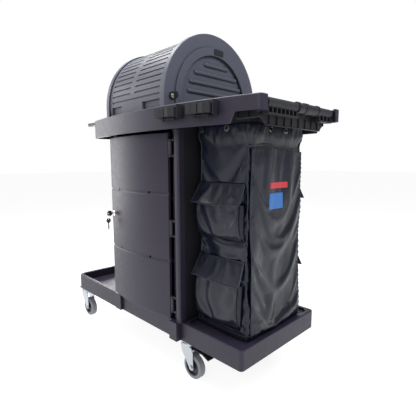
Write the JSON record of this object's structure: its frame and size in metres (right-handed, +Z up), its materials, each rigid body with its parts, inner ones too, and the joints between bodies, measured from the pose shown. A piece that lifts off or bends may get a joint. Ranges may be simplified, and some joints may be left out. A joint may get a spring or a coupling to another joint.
{
  "type": "housekeeping cart",
  "caption": "Hooded housekeeping cart: deck on four swivel casters, bow-front locking cabinet, tray with roll-top hood, tool clips, push handle and hanging laundry bag.",
  "frame": {"origin": "on the floor, under the middle of the whole footprint", "axes": "+X towards the laundry bag and push handle, +Y towards the back, +Z up; the cabinet door faces -Y"},
  "size_m": [1.276, 0.6735, 1.3959],
  "materials": {
    "grey_tyre": "matt grey thermoplastic rubber",
    "hub_plastic": "moulded",
    "zinc_plate": "bright zinc plated pressed steel",
    "charcoal_body": "fine spark-eroded texture",
    "charcoal_hood": "fine spark-eroded texture",
    "bag_fabric": "coated polyester with a soft gloss",
    "nickel": "bright nickel plate",
    "steel_pin": "drawn",
    "clip_rubber": "moulded",
    "handle_plastic": "satin moulded",
    "black_plastic": "moulded"
  },
  "bodies": {
    "cart": {"bag": "bag_fabric", "bag_collar": "charcoal_body", "bag_eyelets": "nickel", "bag_flaps": "bag_fabric", "bag_hooks": "nickel", "bag_pockets": "bag_fabric", "base_deck": "charcoal_body", "cabinet_back": "charcoal_body", "cabinet_shelves": "charcoal_body", "cabinet_side_left": "charcoal_body", "cabinet_side_right": "charcoal_body", "caster_bolts": "zinc_plate", "caster_plates": "zinc_plate", "clip_pins": "steel_pin", "clip_plates": "black_plastic", "counter_tray": "charcoal_body", "door_hinge_pins": "steel_pin", "handle_bar": "handle_plastic", "handle_comb": "handle_plastic", "handle_grips": "handle_plastic", "handle_saddles": "handle_plastic", "hinge_column": "charcoal_body", "hood_badge": "black_plastic", "hood_end_left": "charcoal_hood", "hood_end_right": "charcoal_hood", "hood_lock_cup": "black_plastic", "hood_rear_shell": "charcoal_hood", "latch_column": "charcoal_body", "ribbed_skirt": "charcoal_body"},
    "caster_front_left": {"caster_fork_front_left": "zinc_plate", "caster_axle_front_left": "zinc_plate"},
    "wheel_front_left": {"wheel_hub_front_left": "hub_plastic", "wheel_tyre_front_left": "grey_tyre"},
    "caster_back_left": {"caster_fork_back_left": "zinc_plate", "caster_axle_back_left": "zinc_plate"},
    "wheel_back_left": {"wheel_hub_back_left": "hub_plastic", "wheel_tyre_back_left": "grey_tyre"},
    "caster_front_right": {"caster_fork_front_right": "zinc_plate", "caster_axle_front_right": "zinc_plate"},
    "wheel_front_right": {"wheel_hub_front_right": "hub_plastic", "wheel_tyre_front_right": "grey_tyre"},
    "brake_front_right": {"brake_pedal_front_right": "zinc_plate"},
    "caster_back_right": {"caster_fork_back_right": "zinc_plate", "caster_axle_back_right": "zinc_plate"},
    "wheel_back_right": {"wheel_hub_back_right": "hub_plastic", "wheel_tyre_back_right": "grey_tyre"},
    "brake_back_right": {"brake_pedal_back_right": "zinc_plate"},
    "door": {"cabinet_door": "charcoal_body"},
    "door_lock": {"door_lock": "nickel", "door_key_head": "black_plastic"},
    "hanging_keys": {"key_ring": "nickel", "spare_key": "nickel"},
    "shutter": {"hood_shutter": "charcoal_hood"},
    "hood_lock": {"hood_lock": "nickel", "hood_key_head": "black_plastic"},
    "jaw_left_a": {"clip_jaw_left_a": "clip_rubber"},
    "jaw_left_b": {"clip_jaw_left_b": "clip_rubber"},
    "jaw_right_a": {"clip_jaw_right_a": "clip_rubber"},
    "jaw_right_b": {"clip_jaw_right_b": "clip_rubber"}
  },
  "joints": [
    {"name": "swivel_front_left", "type": "hinge", "parent": "cart", "child": "caster_front_left", "pos_m": [-0.6, -0.201, 0.1445], "axis": [0, 0, 1], "continuous": true},
    {"name": "roll_front_left", "type": "hinge", "parent": "caster_front_left", "child": "wheel_front_left", "pos_m": [-0.567, -0.201, 0.05], "axis": [0, 1, 0], "continuous": true},
    {"name": "swivel_back_left", "type": "hinge", "parent": "cart", "child": "caster_back_left", "pos_m": [-0.6, 0.243, 0.1445], "axis": [0, 0, 1], "continuous": true},
    {"name": "roll_back_left", "type": "hinge", "parent": "caster_back_left", "child": "wheel_back_left", "pos_m": [-0.567, 0.243, 0.05], "axis": [0, 1, 0], "continuous": true},
    {"name": "swivel_front_right", "type": "hinge", "parent": "cart", "child": "caster_front_right", "pos_m": [0.262, -0.187, 0.1445], "axis": [0, 0, 1], "continuous": true},
    {"name": "roll_front_right", "type": "hinge", "parent": "caster_front_right", "child": "wheel_front_right", "pos_m": [0.295, -0.187, 0.05], "axis": [0, 1, 0], "continuous": true},
    {"name": "brake_front_right", "type": "hinge", "parent": "caster_front_right", "child": "brake_front_right", "pos_m": [0.282, -0.187, 0.117], "axis": [0, 1, 0], "range_deg": [0, 9]},
    {"name": "swivel_back_right", "type": "hinge", "parent": "cart", "child": "caster_back_right", "pos_m": [0.262, 0.229, 0.1445], "axis": [0, 0, 1], "continuous": true},
    {"name": "roll_back_right", "type": "hinge", "parent": "caster_back_right", "child": "wheel_back_right", "pos_m": [0.295, 0.229, 0.05], "axis": [0, 1, 0], "continuous": true},
    {"name": "brake_back_right", "type": "hinge", "parent": "caster_back_right", "child": "brake_back_right", "pos_m": [0.282, 0.229, 0.117], "axis": [0, 1, 0], "range_deg": [0, 9]},
    {"name": "door_hinge", "type": "hinge", "parent": "cart", "child": "door", "pos_m": [0.2125, -0.231, 0.6], "axis": [0, 0, 1], "range_deg": [0, 105]},
    {"name": "door_lock_turn", "type": "hinge", "parent": "door", "child": "door_lock", "pos_m": [-0.1941, -0.24336, 0.635], "axis": [-0.2063, -0.9785, 0], "range_deg": [0, 90]},
    {"name": "key_swing", "type": "hinge", "parent": "door_lock", "child": "hanging_keys", "pos_m": [-0.20035, -0.27301, 0.6342], "axis": [1, 0, 0], "range_deg": [-60, 15]},
    {"name": "hood_roll", "type": "hinge", "parent": "cart", "child": "shutter", "pos_m": [-0.006, 0.021, 1.121], "axis": [-1, 0, 0], "range_deg": [0, 84]},
    {"name": "hood_lock_turn", "type": "hinge", "parent": "cart", "child": "hood_lock", "pos_m": [0.208, -0.215, 1.124], "axis": [-1, 0, 0], "range_deg": [0, 90]},
    {"name": "jaw_left_a", "type": "hinge", "parent": "cart", "child": "jaw_left_a", "pos_m": [0.27035, -0.3099, 1.041], "axis": [0, 0, -1], "range_deg": [0, 10], "stiffness_Nm_per_rad": 1},
    {"name": "jaw_left_b", "type": "hinge", "parent": "cart", "child": "jaw_left_b", "pos_m": [0.3242, -0.30586, 1.041], "axis": [0, 0, 1], "range_deg": [0, 10], "stiffness_Nm_per_rad": 1},
    {"name": "jaw_right_a", "type": "hinge", "parent": "cart", "child": "jaw_right_a", "pos_m": [0.41769, -0.29564, 1.041], "axis": [0, 0, -1], "range_deg": [0, 10], "stiffness_Nm_per_rad": 1},
    {"name": "jaw_right_b", "type": "hinge", "parent": "cart", "child": "jaw_right_b", "pos_m": [0.47114, -0.28795, 1.041], "axis": [0, 0, 1], "range_deg": [0, 10], "stiffness_Nm_per_rad": 1}
  ]
}
